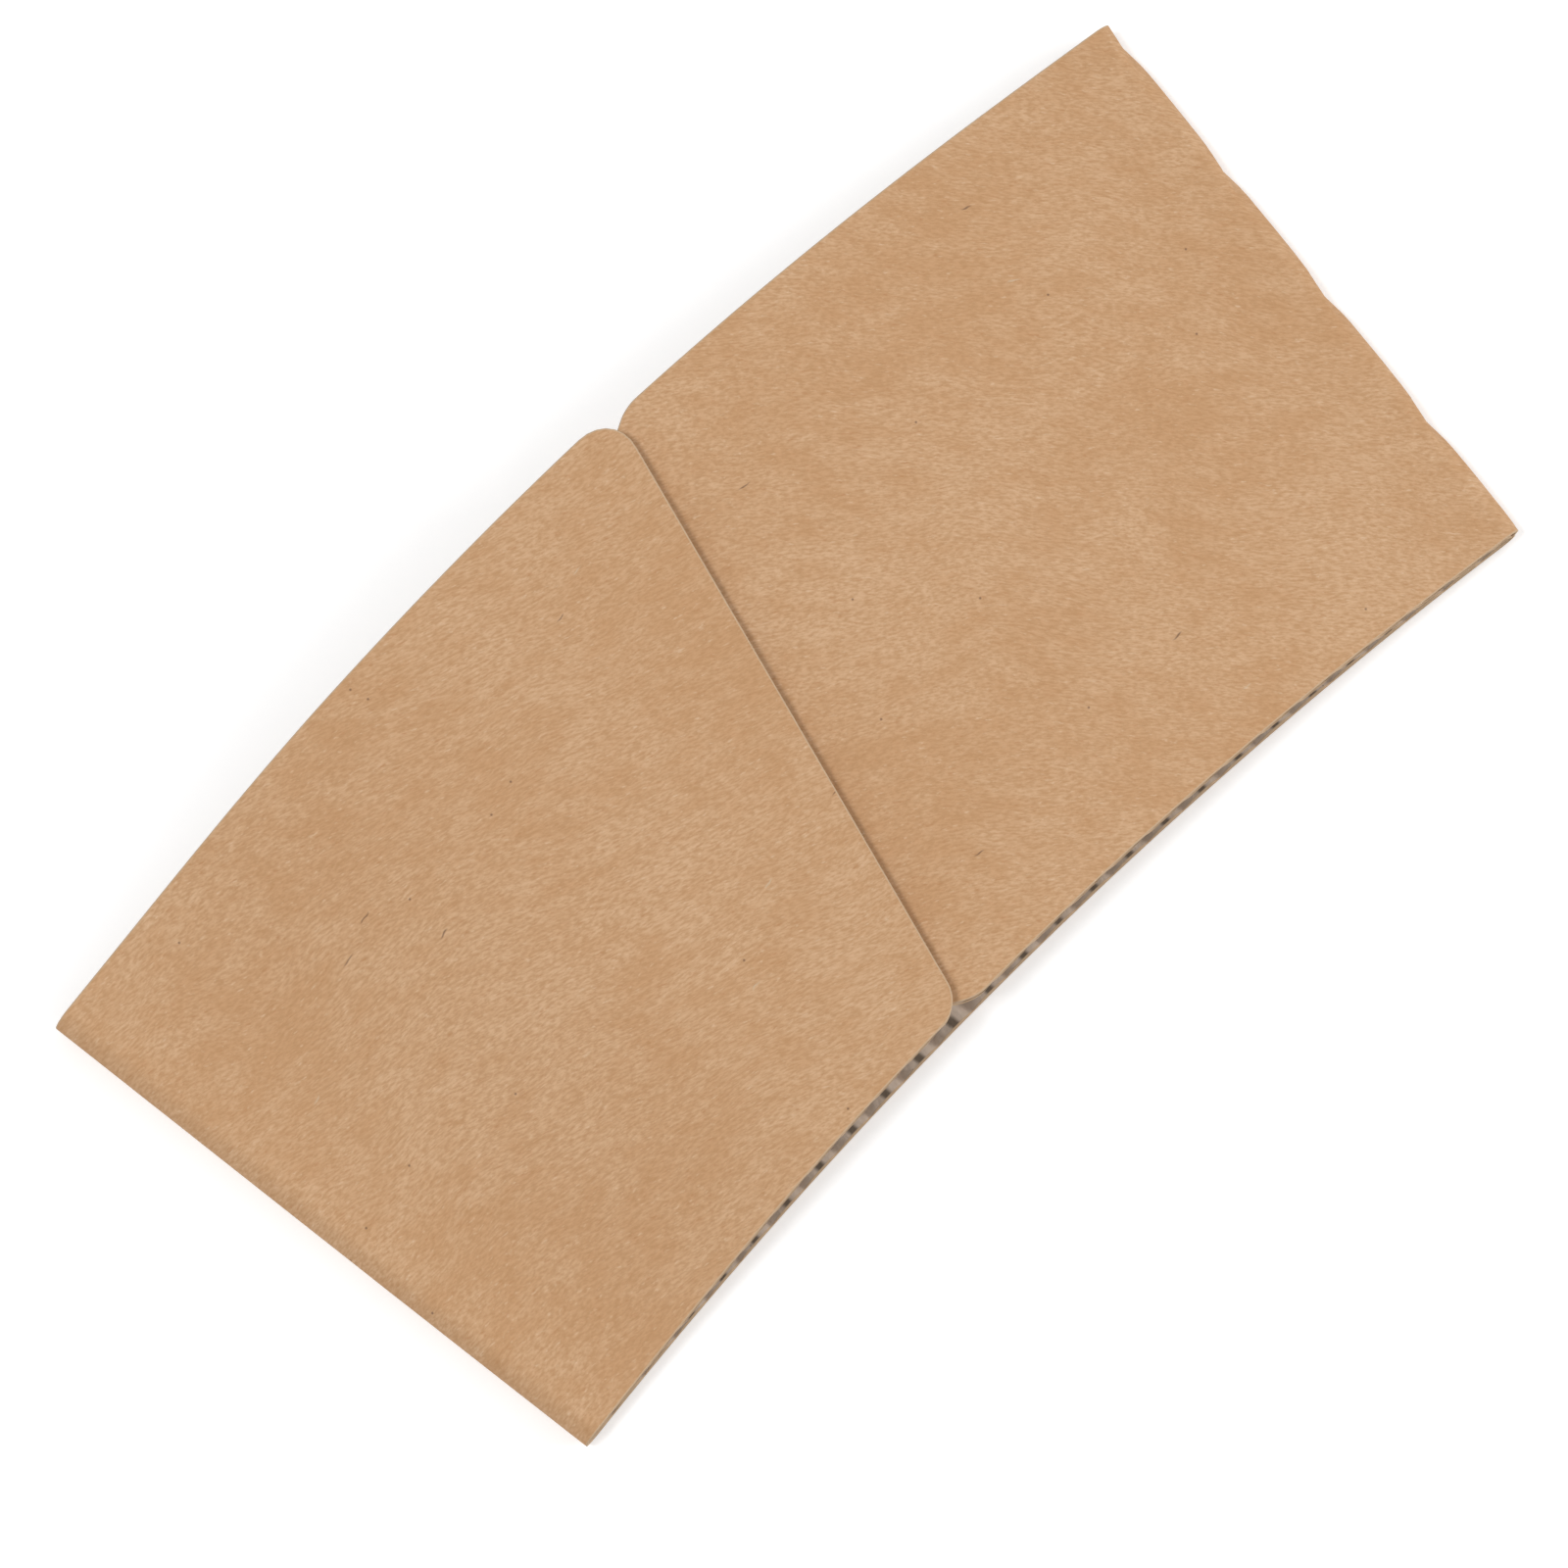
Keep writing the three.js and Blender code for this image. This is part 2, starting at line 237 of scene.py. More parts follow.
def slice_at(bm, point, normal):
    geom = bm.verts[:] + bm.edges[:] + bm.faces[:]
    bmesh.ops.bisect_plane(bm, geom=geom, dist=1e-4, plane_co=point, plane_no=normal)


def slice_radially(bm):
    """Slices the folds finely, and the front panels and the crushed stretches coarsely."""
    angles = []
    for side in (-1, 1):
        for i in range(BEND_SLICES + 1):
            angles.append(side * (HALF_SPAN + BEND_SPAN * i / BEND_SLICES))
        angle = HALF_SPAN + BEND_SPAN + PANEL_SLICE
        while angle < 2 * HALF_SPAN + BEND_SPAN + abs(FLAP_NARROW_X) / NARROW_RADIUS:
            angles.append(side * angle)
            angle += PANEL_SLICE
        angles += [side * (HALF_SPAN - CRUSH_SPAN * i / 4) for i in range(1, 5)]
    apex = Vector((0.0, -MID_RADIUS, 0.0))
    for angle in angles:
        slice_at(bm, apex, Vector((math.cos(angle), -math.sin(angle), 0.0)))


def slice_along_flutes(bm, fractions):
    """Slices along the flutes at these shares of each pitch."""
    across = Vector((math.cos(FLUTE_LEAN), math.sin(FLUTE_LEAN), 0.0))
    reach = [across.dot(vert.co) for vert in bm.verts]
    first = math.floor((min(reach) - FLUTE_PHASE) / FLUTE_PITCH)
    last = math.ceil((max(reach) - FLUTE_PHASE) / FLUTE_PITCH)
    for k in range(first, last):
        for fraction in fractions:
            slice_at(bm, across * (FLUTE_PHASE + (k + fraction) * FLUTE_PITCH), across)


# %% [markdown]
# ## The flutes
#
# A corrugator presses the medium between toothed rolls. After packing, the crests are broad and
# flattened and the valleys, where the glue holds the medium to the liner, are narrow. A high power of
# a cosine has just that section. Near a fold the flutes are crushed to a smaller depth.


# %% Shape the flutes
def across_flutes(point):
    return point.x * math.cos(FLUTE_LEAN) + point.y * math.sin(FLUTE_LEAN)


def flute_rise(q):
    """0 in a valley and 1 on a crest."""
    return 1 - math.cos(math.pi * (q - FLUTE_PHASE) / FLUTE_PITCH) ** VALLEY_SHARPNESS


def smoothstep(value, low, high):
    share = min(max((value - low) / (high - low), 0.0), 1.0)
    return share * share * (3 - 2 * share)


def depth_left(angle):
    """Share of the flute's depth at a blank angle."""
    away = abs(abs(angle) - HALF_SPAN - BEND_SPAN / 2) - BEND_SPAN / 2
    return 1 - FOLD_CRUSH * (1 - smoothstep(away, 0, CRUSH_SPAN))


def blank_polar(point):
    """Radius and angle of a flat blank point about the cone's apex."""
    return math.hypot(point.x, point.y + MID_RADIUS), math.atan2(point.x, point.y + MID_RADIUS)


# %% [markdown]
# ## Folding
#
# Folding moves a point of the flat board, at some height over the liner's outer face, to its place on
# the folded sleeve. Between the folds nothing moves. In a fold the board turns half a circle about the
# crease. Beyond it, the board comes back over the back panel, where it bows up, and the left panel
# climbs on to the glue tab of the right one. The right fold draws in a little where a valley crosses
# it, because two flat papers fold tighter than a flute does: that gives it its scalloped edge.


# %% Fold the board
TAB_END_ANGLE = min(unfolded(1, CORNERS[2][0]), unfolded(1, CORNERS[3][0]))
RAMP_TOP = TAB_END_ANGLE + HALF_SPAN - RAMP_CLEAR / MID_RADIUS
RAMP_FOOT = max(RAMP_TOP - RAMP_LENGTH / MID_RADIUS, 0.0)


def front_rise(side, angle):
    """Height of a front panel over the plane in which its fold leaves it."""
    share = min(max(angle / HALF_SPAN, -1.0), 1.0)
    rise = BOW_HEIGHT * (1 - share * share) ** 1.5
    if side < 0:
        rise += LAP_RISE * smoothstep(angle + HALF_SPAN, RAMP_FOOT, RAMP_TOP)
    return rise


def folded(point):
    """Takes a blank point, with its height over the outer face as z, to its place."""
    radius, angle = blank_polar(point)
    side = -1 if angle < 0 else 1
    past = abs(angle) - HALF_SPAN
    if past <= 0:
        return point.copy()
    turn = math.pi * min(past / BEND_SPAN, 1.0)
    notch = (LEFT_NOTCH if side < 0 else RIGHT_NOTCH) * (1 - flute_rise(across_flutes(point)))
    reach = (FOLD_RADIUS - point.z - notch) * math.sin(turn)
    front_angle = side * (HALF_SPAN - max(past - BEND_SPAN, 0.0))
    place = Vector((
        radius * math.sin(front_angle) + side * reach * math.cos(HALF_SPAN),
        radius * math.cos(front_angle) - MID_RADIUS - reach * math.sin(HALF_SPAN),
        FOLD_RADIUS - (FOLD_RADIUS - point.z) * math.cos(turn),
    ))
    if side < 0:
        pivot = polar_to_flat(Vector((-HALF_SPAN * MID_RADIUS, MID_RADIUS, 0.0)))
        place = pivot + Matrix.Rotation(GLUE_SKEW * turn / math.pi, 3, "Z") @ (place - pivot)
    if past > BEND_SPAN:
        place.z += front_rise(side, front_angle)
    return place


# %% [markdown]
# ## From a flat sheet to a finished mesh
#
# Both papers go through the same steps: keep the flat blank's coordinates as the UV map, give the
# sheet its thickness while that is easy, fold it, and mark the rim. The UV map is what lets the fibres
# run straight through the folds as they do in real paper. The rim and the bruised border share the
# second material slot, because cut paper looks paler and rougher than its face.

# %% Finish a paper
UV_SPAN = 320.0                 # millimetres of blank across the whole UV square


def map_blank(bm):
    layer = bm.loops.layers.uv.new("blank")
    for face in bm.faces:
        for loop in face.loops:
            loop[layer].uv = (loop.vert.co.x / UV_SPAN + 0.5, loop.vert.co.y / UV_SPAN + 0.5)


def thicken(bm, thickness):
    """Gives the sheet a second face. The rim gets the material index of the cut border."""
    first_face = set(bm.verts)
    bmesh.ops.solidify(bm, geom=bm.faces[:], thickness=thickness)
    for face in bm.faces:
        if len({vert in first_face for vert in face.verts}) == 2:
            face.material_index = 1
    bmesh.ops.recalc_face_normals(bm, faces=bm.faces[:])


def finish_paper(bm, name, offset):
    """Folds the sheet and makes it an object in metres in the CAD frame."""
    for vert in bm.verts:
        vert.co = (folded(vert.co) + offset) * MM
    for face in bm.faces:
        face.smooth = True
    for edge in bm.edges:
        edge.smooth = len({face.material_index for face in edge.link_faces}) < 2
    mesh = bpy.data.meshes.new(name)
    bm.to_mesh(mesh)
    bm.free()
    paper = bpy.data.objects.new(name, mesh)
    bpy.context.collection.objects.link(paper)
    print(name, "faces:", len(mesh.polygons))
    return paper


# %% [markdown]
# ## The liner
#
# The liner is a plain sheet, so it is thickened flat and then folded. It is placed by comparing its
# box with the box of the CAD node: both were made in the blank's own coordinates, whose origin isn't
# under the middle of the folded sleeve.

# %% Make the liner
LINER_FRACTIONS = (0.0, 0.12, 0.25, 0.5, 0.75, 0.88)


def make_liner():
    bm = cut_blank()
    slice_radially(bm)
    slice_along_flutes(bm, LINER_FRACTIONS)
    map_blank(bm)
    thicken(bm, -LINER_THICKNESS)
    heights = [vert.co.z for vert in bm.verts]
    print("liner heights in millimetres:", round(min(heights), 3), round(max(heights), 3))
    places = [folded(vert.co) for vert in bm.verts]
    low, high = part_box("outer_liner")
    middle = [(min(p[i] for p in places) + max(p[i] for p in places)) / 2 for i in range(3)]
    offset = Vector(((low[i] + high[i]) / 2 / MM - middle[i] for i in range(3)))
    offset.z = 0.0
    print("offset in millimetres:", [round(v, 3) for v in offset])
    return finish_paper(bm, "kraft_liner", offset), offset


liner, frame_offset = make_liner()
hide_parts("outer_liner")
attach(liner, "root")

# %% [markdown]
# ## The fluted medium
#
# The medium waves first, gets its thickness square to the wave, and is folded last. It stands off the
# liner by the glue line.

# %% Make the fluted medium
MEDIUM_FRACTIONS = (0.0, 0.05, 0.1, 0.15, 0.21, 0.3, 0.5, 0.7, 0.79, 0.85, 0.9, 0.95)


def make_medium(offset):
    bm = cut_blank()
    slice_radially(bm)
    slice_along_flutes(bm, MEDIUM_FRACTIONS)
    map_blank(bm)
    outer = LINER_THICKNESS + GLUE_GAP
    for vert in bm.verts:
        depth = FLUTE_DEPTH * depth_left(blank_polar(vert.co)[1])
        vert.co.z = outer + depth * flute_rise(across_flutes(vert.co))
    thicken(bm, -MEDIUM_THICKNESS)
    heights = [vert.co.z for vert in bm.verts]
    print("medium heights in millimetres:", round(min(heights), 3), round(max(heights), 3))
    return finish_paper(bm, "corrugated_medium", offset)


medium = make_medium(frame_offset)
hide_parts("fluted_medium")
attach(medium, "root")

# %% [markdown]
# ## Paper fibres
#
# Kraft paper shows its pulp. There is a soft cloudy mottle from the way the pulp settled, and on top
# of it fine streaks and short fibres that lie mostly along the direction in which the paper machine
# ran. One node group makes them all from noise that is stretched along the grain. The grain swings a
# few degrees to and fro along the blank, and a slow swirl keeps it from looking ruled. The group's
# inputs are named in millimetres, so that each paper can set its own grain, and it only puts out masks
# and a height.

# %% Helpers for material nodes
def add_node(tree, kind, inputs=None, **settings):
    """Adds a node, sets its properties, and sets or links its inputs."""
    node = tree.nodes.new(kind)
    for name, value in settings.items():
        setattr(node, name, value)
    for name, value in (inputs or {}).items():
        socket = node.inputs[name]
        if isinstance(value, bpy.types.NodeSocket):
            tree.links.new(value, socket)
        else:
            socket.default_value = value
    return node


def ramp(tree, value, low, high):
    """A mask that climbs smoothly from 0 at `low` to 1 at `high`."""
    node = add_node(
        tree, "ShaderNodeMapRange", {"Value": value, "From Min": low, "From Max": high},
        interpolation_type="SMOOTHSTEP",
    )
    return node.outputs["Result"]


def arithmetic(tree, operation, first, second=0.0):
    return add_node(tree, "ShaderNodeMath", {0: first, 1: second}, operation=operation).outputs[0]


def vector_math(tree, operation, first, second):
    """`second` is a vector, or a number for the operation SCALE."""
    inputs = {0: first, "Scale" if operation == "SCALE" else 1: second}
    node = add_node(tree, "ShaderNodeVectorMath", inputs, operation=operation)
    return node.outputs["Value" if operation == "DOT_PRODUCT" else "Vector"]


def blend_colour(tree, factor, first, second):
    """The colour sockets of a Mix node have numbers here, because their names come up four times."""
    inputs = {"Factor": factor, 6: first, 7: second}
    return add_node(tree, "ShaderNodeMix", inputs, data_type="RGBA").outputs[2]


def tint(tree, colour, mask, strength, tone):
    """Lays a tone over a colour where the mask is 1, at this strength."""
    return blend_colour(tree, arithmetic(tree, "MULTIPLY", mask, strength), colour, tone)


def noise(tree, place, scale, detail=3.0, roughness=0.55):
    node = add_node(tree, "ShaderNodeTexNoise", {
        "Vector": place, "Scale": scale, "Detail": detail, "Roughness": roughness,
    })
    return node.outputs["Fac"]


# %% Make the paper fibre group
FIBRE_STRETCH = 2.7             # how much longer than wide a fibre is
CLOUD_STRETCH = 1.5
CLOUDS_PER_MM = 0.42
SLOW_PER_MM = 0.05              # for the widest clouds and the swirl
SLOW_SHARE = 0.45               # of the widest clouds in the mottle
SWIRL_REACH = 4.0               # millimetres
GRAIN_WAVE = 190.0              # millimetres of blank in which the grain swings to and fro once
GRAIN_SWING = 10.3              # millimetres by which a long fibre would swing to a side
HALVES = (0.5, 0.5, 0.5)        # the middle value of a noise colour


def along_grain(tree, place, per_mm, stretch, shift):
    """Scales a place on the blank, stretches it along X, and shifts it to other noise."""
    scaled = vector_math(tree, "SCALE", place, per_mm)
    stretched = vector_math(tree, "MULTIPLY", scaled, (1.0 / stretch, 1.0, 1.0))
    return vector_math(tree, "ADD", stretched, (shift, shift * 1.7, 0.0))


def bent_grain(tree, place, grain):
    """Turns the grain to X, with its swing along the blank and its swirl."""
    phase = vector_math(tree, "DOT_PRODUCT", place, (2 * math.pi / GRAIN_WAVE, 0.0, 0.0))
    swing = arithmetic(tree, "MULTIPLY", arithmetic(tree, "COSINE", phase), GRAIN_SWING)
    sideways = add_node(tree, "ShaderNodeCombineXYZ", {"Y": swing}).outputs["Vector"]
    swung = vector_math(tree, "ADD", place, sideways)
    swirl = add_node(tree, "ShaderNodeTexNoise",
                     {"Vector": place, "Scale": SLOW_PER_MM, "Detail": 1.0}).outputs["Color"]
    bend = vector_math(tree, "SCALE", vector_math(tree, "SUBTRACT", swirl, HALVES), SWIRL_REACH)
    warped = vector_math(tree, "ADD", swung, bend)
    return add_node(tree, "ShaderNodeVectorRotate", {"Vector": warped, "Angle": grain},
                    rotation_type="Z_AXIS").outputs["Vector"]


def fibre_group():
    tree = bpy.data.node_groups.new("paper_fibres", "ShaderNodeTree")
    tree.interface.new_socket("Blank mm", in_out="INPUT", socket_type="NodeSocketVector")
    tree.interface.new_socket("Grain", in_out="INPUT", socket_type="NodeSocketFloat")
    tree.interface.new_socket("Fibre width mm", in_out="INPUT", socket_type="NodeSocketFloat")
    for name in ("Cloud", "Streaks", "Light fibres", "Dark fibres", "Height"):
        tree.interface.new_socket(name, in_out="OUTPUT", socket_type="NodeSocketFloat")
    inside = add_node(tree, "NodeGroupInput")
    outside = add_node(tree, "NodeGroupOutput")
    place = inside.outputs["Blank mm"]
    turned = bent_grain(tree, place, inside.outputs["Grain"])
    per_width = arithmetic(tree, "DIVIDE", 0.5, inside.outputs["Fibre width mm"])

    cloud = noise(tree, along_grain(tree, turned, CLOUDS_PER_MM, CLOUD_STRETCH, 3.1), 1.0,
                  detail=4.0, roughness=0.6)
    wide = noise(tree, place, SLOW_PER_MM, detail=2.0)
    cloud = arithmetic(tree, "ADD", arithmetic(tree, "MULTIPLY", cloud, 1.0 - SLOW_SHARE),
                       arithmetic(tree, "MULTIPLY", wide, SLOW_SHARE))
    streaks = noise(tree, along_grain(tree, turned, per_width, FIBRE_STRETCH, 0.0), 1.0,
                    detail=3.0, roughness=0.6)
    dark = noise(tree, along_grain(tree, turned, per_width, FIBRE_STRETCH, 31.7), 0.9, detail=2.0)
    light = noise(tree, along_grain(tree, turned, per_width, FIBRE_STRETCH, 57.3), 0.9, detail=2.0)

    masks = {
        # name: (noise, level at which the mask starts, level at which it is full)
        "Cloud": (cloud, 0.36, 0.62),
        "Streaks": (streaks, 0.30, 0.70),
        "Light fibres": (light, 0.60, 0.78),
        "Dark fibres": (dark, 0.58, 0.76),
    }
    for name, (value, low, high) in masks.items():
        tree.links.new(ramp(tree, value, low, high), outside.inputs[name])
    relief = arithmetic(tree, "SUBTRACT", arithmetic(tree, "ADD", streaks, light),
                        arithmetic(tree, "MULTIPLY", dark, 0.8))
    tree.links.new(relief, outside.inputs["Height"])
    return tree


FIBRES = fibre_group()

# %% [markdown]
# ## The kraft liner's finish
#
# The liner is warm brown with little contrast: a cloudy mottle, darker streaks, pale and orange-brown
# fibres, a few pale straws, and a few dark hairs and specks of bark. It is matte, and its cut edge is
# paler. A speck is the middle of a chosen Voronoi cell, and a hair is a speck drawn out along the grain.

# %% Make the liner's materials
KRAFT_LIGHT = (0.640, 0.412, 0.245, 1.0)
KRAFT_DARK = (0.566, 0.330, 0.174, 1.0)
KRAFT_STREAK = (0.470, 0.262, 0.124, 1.0)
KRAFT_PALE_FIBRE = (0.730, 0.535, 0.365, 1.0)
KRAFT_BROWN_FIBRE = (0.450, 0.220, 0.095, 1.0)
BARK = (0.115, 0.065, 0.045, 1.0)
CUT_EDGE = (0.575, 0.430, 0.290, 1.0)
CUT_EDGE_DARK = (0.535, 0.355, 0.210, 1.0)
LINER_GRAIN = math.radians(-16.5)
HAIR_TURN = -0.3                # radians by which the dark hairs lie off the grain
HAIR_WOBBLE = (0.9, 0.9, 0.0)   # millimetres


def blank_millimetres(tree):
    """The flat blank's coordinates in millimetres, from the UV map."""
    uv = add_node(tree, "ShaderNodeUVMap", uv_map="blank")
    return vector_math(tree, "SCALE", uv.outputs["UV"], UV_SPAN)


def start_material(name, roughness):
    material = bpy.data.materials.new(name)
    material.use_nodes = True
    tree = material.node_tree
    shader = tree.nodes["Principled BSDF"]
    shader.inputs["Roughness"].default_value = roughness
    shader.inputs["Specular IOR Level"].default_value = 0.25
    return material, tree, shader


def add_fibres(tree, place, grain, fibre_width):
    inputs = {"Blank mm": place, "Grain": grain, "Fibre width mm": fibre_width}
    return add_node(tree, "ShaderNodeGroup", inputs, node_tree=FIBRES).outputs


def finish_material(tree, shader, colour, height, strength, distance):
    """Gives the shader its colour, and a relief of this distance in metres."""
    tree.links.new(colour, shader.inputs["Base Color"])
    bump = add_node(tree, "ShaderNodeBump",
                    {"Height": height, "Strength": strength, "Distance": distance})
    tree.links.new(bump.outputs["Normal"], shader.inputs["Normal"])


def speck_mask(tree, place, per_mm, share, size):
    """Scattered specks: the middles of a few cells of a flat Voronoi pattern."""
    cells = add_node(tree, "ShaderNodeTexVoronoi", {"Vector": place, "Scale": per_mm},
                     voronoi_dimensions="2D")
    chosen = add_node(tree, "ShaderNodeSeparateColor", {"Color": cells.outputs["Color"]})
    picked = arithmetic(tree, "LESS_THAN", chosen.outputs["Red"], share)
    near = ramp(tree, cells.outputs["Distance"], size, size * 0.3)
    return arithmetic(tree, "MULTIPLY", picked, near)


def hair_mask(tree, place, grain, share, slimness, shift):
    """Scattered hairs: specks drawn out along the grain, each a little bent."""
    wobble = add_node(tree, "ShaderNodeTexNoise", {"Vector": place, "Scale": 0.7, "Detail": 1.0})
    bent = add_node(tree, "ShaderNodeVectorMath",
                    {0: wobble.outputs["Color"], 1: HAIR_WOBBLE, 2: place},
                    operation="MULTIPLY_ADD")
    drawn = add_node(tree, "ShaderNodeMapping", {
        "Vector": bent.outputs[0], "Location": (shift, shift, 0.0),
        "Rotation": (0.0, 0.0, grain), "Scale": (1.0 / slimness, 1.0, 1.0),
    })
    return speck_mask(tree, drawn.outputs[0], 0.5, share, 0.05)


def kraft_material():
    material, tree, shader = start_material("kraft_paper", 0.88)
    place = blank_millimetres(tree)
    fibres = add_fibres(tree, place, LINER_GRAIN, 0.115)
    colour = blend_colour(tree, fibres["Cloud"], KRAFT_DARK, KRAFT_LIGHT)
    colour = tint(tree, colour, fibres["Streaks"], 0.8, KRAFT_STREAK)
    colour = tint(tree, colour, fibres["Dark fibres"], 0.5, KRAFT_BROWN_FIBRE)
    colour = tint(tree, colour, fibres["Light fibres"], 0.5, KRAFT_PALE_FIBRE)
    straws = hair_mask(tree, place, LINER_GRAIN, 0.04, 7.0, 40.0)
    colour = tint(tree, colour, straws, 0.8, CUT_EDGE)
    hairs = hair_mask(tree, place, LINER_GRAIN + HAIR_TURN, 0.03, 8.0, 0.0)
    specks = speck_mask(tree, place, 0.3, 0.02, 0.05)
    colour = tint(tree, colour, arithmetic(tree, "MAXIMUM", hairs, specks), 0.65, BARK)
    finish_material(tree, shader, colour, fibres["Height"], 0.35, 0.00008)
    return material


def cut_edge_material():
    material, tree, shader = start_material("cut_paper_edge", 0.95)
    grainy = noise(tree, blank_millimetres(tree), 2.5, detail=3.0)
    colour = blend_colour(tree, grainy, CUT_EDGE_DARK, CUT_EDGE)
    tree.links.new(colour, shader.inputs["Base Color"])
    return material


EDGE_MATERIAL = cut_edge_material()
liner.data.materials.append(kraft_material())
liner.data.materials.append(EDGE_MATERIAL)

# %% [markdown]
# ## The medium's finish
#
# The medium is made from recycled pulp, so it is greyer and darker than the liner, with flecks. Its
# valleys get painted shade: a dark brown laid along them, where the narrow valleys lie in shade. The
# mask for them is worked out from the flat blank, so it runs exactly along the flutes that were
# modelled.

# %% Make the medium's material
MEDIUM_LIGHT = (0.690, 0.565, 0.465, 1.0)
MEDIUM_DARK = (0.530, 0.420, 0.330, 1.0)
# The colour of the painted shade in the flute valleys.
VALLEY_PAINTED_SHADE = (0.100, 0.072, 0.048, 1.0)
MEDIUM_PALE_FIBRE = (0.680, 0.590, 0.490, 1.0)
MEDIUM_GRAIN = math.radians(-79.0)
VALLEY_SHADE_WIDTH = 0.65             # millimetres to either side


def valley_shade_mask(tree, place):
    """1 along the narrow valleys of the flutes, where the shade is painted."""
    across = (math.cos(FLUTE_LEAN) / FLUTE_PITCH, math.sin(FLUTE_LEAN) / FLUTE_PITCH, 0.0)
    pitches = vector_math(tree, "DOT_PRODUCT", place, across)
    from_valley = arithmetic(tree, "SUBTRACT", pitches, FLUTE_PHASE / FLUTE_PITCH)
    away = arithmetic(tree, "PINGPONG", from_valley, 0.5)
    return ramp(tree, away, VALLEY_SHADE_WIDTH / FLUTE_PITCH, 0.3 * VALLEY_SHADE_WIDTH / FLUTE_PITCH)


def medium_material():
    material, tree, shader = start_material("fluting_paper", 0.93)
    place = blank_millimetres(tree)
    fibres = add_fibres(tree, place, MEDIUM_GRAIN, 0.18)
    colour = blend_colour(tree, fibres["Cloud"], MEDIUM_DARK, MEDIUM_LIGHT)
    colour = tint(tree, colour, fibres["Streaks"], 0.4, MEDIUM_DARK)
    colour = tint(tree, colour, fibres["Light fibres"], 0.4, MEDIUM_PALE_FIBRE)
    # Painted shade: the flute valleys are darkened as if they lay in shade.
    colour = tint(tree, colour, valley_shade_mask(tree, place), 0.85, VALLEY_PAINTED_SHADE)
    colour = tint(tree, colour, speck_mask(tree, place, 0.8, 0.12, 0.1), 0.5, BARK)
    finish_material(tree, shader, colour, fibres["Height"], 0.5, 0.00015)
    return material


medium.data.materials.append(medium_material())
medium.data.materials.append(EDGE_MATERIAL)

# %% [markdown]
# ## Floor and light
#
# A plain pale floor carries the sleeve. A soft lamp lights it from nearly overhead, and a wider one
# from the right of the picture, as in a studio tent. The first lamp leans a little to the left, so that
# the flap throws a thin shadow beside its edge. To the camera the floor glows a little, just enough to
# make it white and to keep the sleeve's shadow, and it glows more with distance, where the lamps fade,
# so that a low view has a white horizon too.

# %% Make the floor
WHITE = (1.0, 1.0, 1.0, 1.0)
FLOOR_GREY = (0.93, 0.93, 0.93, 1.0)
FLOOR_HALF = 1.5                # metres
FLOOR_DROP = 0.0002             # metres below the sleeve, so that the two faces don't coincide
GLOW_NEAR = 0.12                # metres from the middle, up to which the floor keeps its shadows
GLOW_FAR = 0.6                  # metres, from which it is white up to the horizon
NEAR_GLOW = 0.28
FAR_GLOW = 0.75


def direct_rays(tree):
    """1 for the rays that show the surroundings themselves, and 0 for those that only light."""
    path = add_node(tree, "ShaderNodeLightPath").outputs
    direct = arithmetic(tree, "MAXIMUM", path["Is Camera Ray"], path["Is Glossy Ray"])
    return arithmetic(tree, "MAXIMUM", direct, path["Is Transmission Ray"])


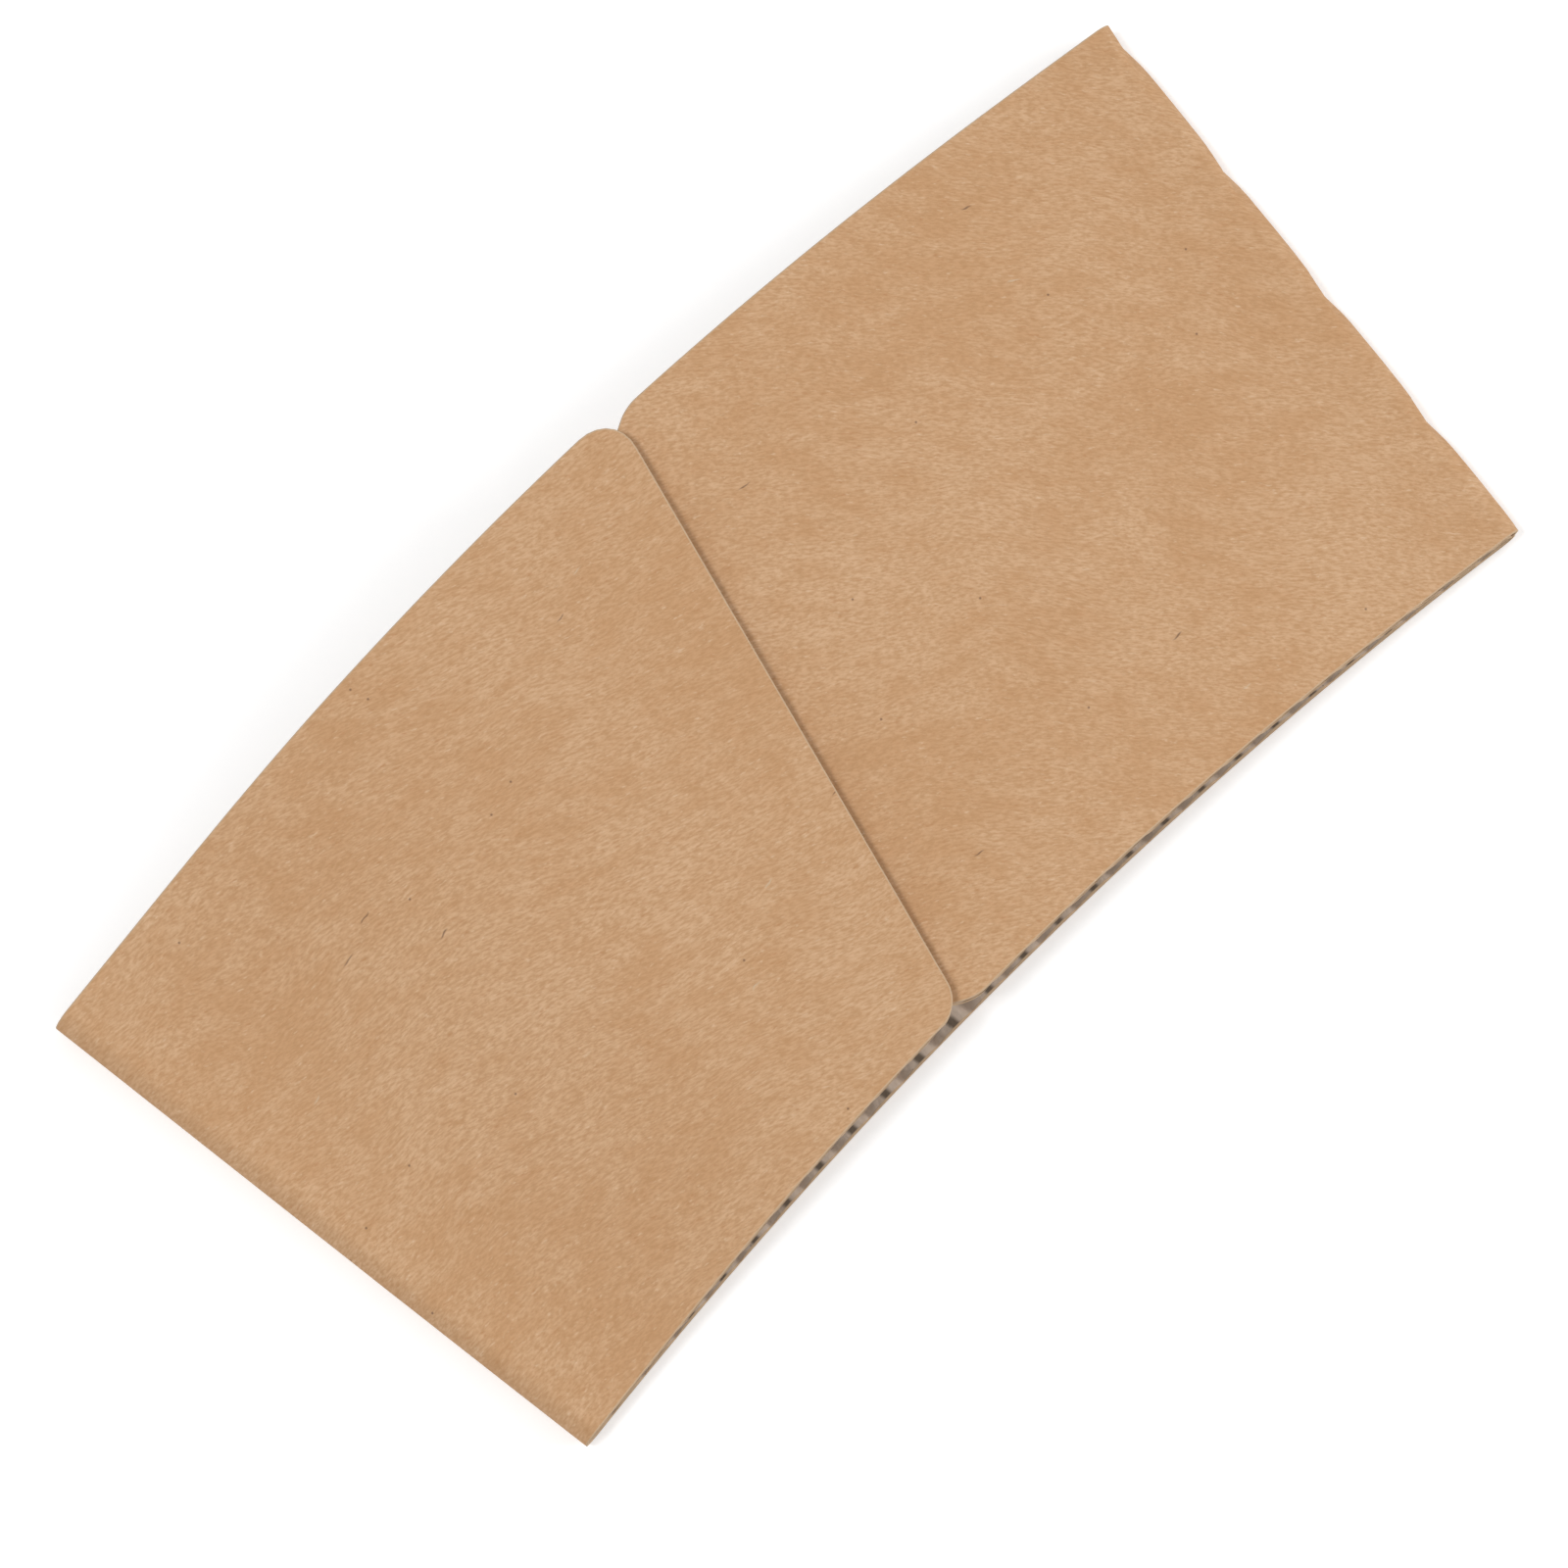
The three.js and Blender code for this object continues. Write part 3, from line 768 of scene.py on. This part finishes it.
def floor_material():
    material, tree, shader = start_material("pale_floor", 0.9)
    shader.inputs["Base Color"].default_value = FLOOR_GREY
    here = add_node(tree, "ShaderNodeTexCoord").outputs["Object"]
    away = add_node(tree, "ShaderNodeVectorMath", {0: here}, operation="LENGTH").outputs["Value"]
    strength = add_node(tree, "ShaderNodeMapRange", {
        "Value": away, "From Min": GLOW_NEAR, "From Max": GLOW_FAR,
        "To Min": NEAR_GLOW, "To Max": FAR_GLOW,
    }, interpolation_type="SMOOTHSTEP").outputs["Result"]
    strength = arithmetic(tree, "MULTIPLY", direct_rays(tree), strength)
    glow = add_node(tree, "ShaderNodeEmission", {"Color": WHITE, "Strength": strength})
    both = add_node(tree, "ShaderNodeAddShader",
                    {0: shader.outputs["BSDF"], 1: glow.outputs["Emission"]})
    tree.links.new(both.outputs["Shader"], tree.nodes["Material Output"].inputs["Surface"])
    return material


def make_floor():
    bm = bmesh.new()
    bmesh.ops.create_grid(bm, x_segments=2, y_segments=2, size=FLOOR_HALF)
    bmesh.ops.translate(bm, verts=bm.verts[:], vec=(0.0, 0.0, -FLOOR_DROP))
    mesh = bpy.data.meshes.new("floor")
    bm.to_mesh(mesh)
    bm.free()
    mesh.materials.append(floor_material())
    floor = bpy.data.objects.new("floor", mesh)
    bpy.context.collection.objects.link(floor)
    return floor


make_floor()

# %% Make the lights
LAMPS = {
    # name: (place in metres, size in metres, power in watts)
    "key": ((-0.42, 0.16, 1.13), 0.25, 5.5),
    "fill": ((1.10, -0.88, 0.74), 0.9, 11.8),
}
ROOM_LIGHT = 0.48


def add_lamp(name, place, size, power):
    """A square lamp that faces the origin."""
    data = bpy.data.lights.new(name, "AREA")
    data.size = size
    data.energy = power
    lamp = bpy.data.objects.new(name, data)
    lamp.location = place
    lamp.rotation_euler = (-Vector(place)).to_track_quat("-Z", "Y").to_euler()
    bpy.context.collection.objects.link(lamp)


def light_room():
    """The room is white to look at, and lights the sleeve less than a white room would."""
    world = bpy.data.worlds.new("studio")
    bpy.context.scene.world = world
    world.use_nodes = True
    tree = world.node_tree
    dim = tree.nodes["Background"]
    dim.inputs["Color"].default_value = WHITE
    dim.inputs["Strength"].default_value = ROOM_LIGHT
    bright = add_node(tree, "ShaderNodeBackground", {"Color": WHITE, "Strength": 1.0})
    mixed = add_node(tree, "ShaderNodeMixShader", {
        "Fac": direct_rays(tree), 1: dim.outputs["Background"], 2: bright.outputs["Background"],
    })
    tree.links.new(mixed.outputs["Shader"], tree.nodes["World Output"].inputs["Surface"])


for lamp_name, (lamp_place, lamp_size, lamp_power) in LAMPS.items():
    add_lamp(lamp_name, lamp_place, lamp_size, lamp_power)
light_room()
bpy.context.scene.view_settings.view_transform = "Standard"
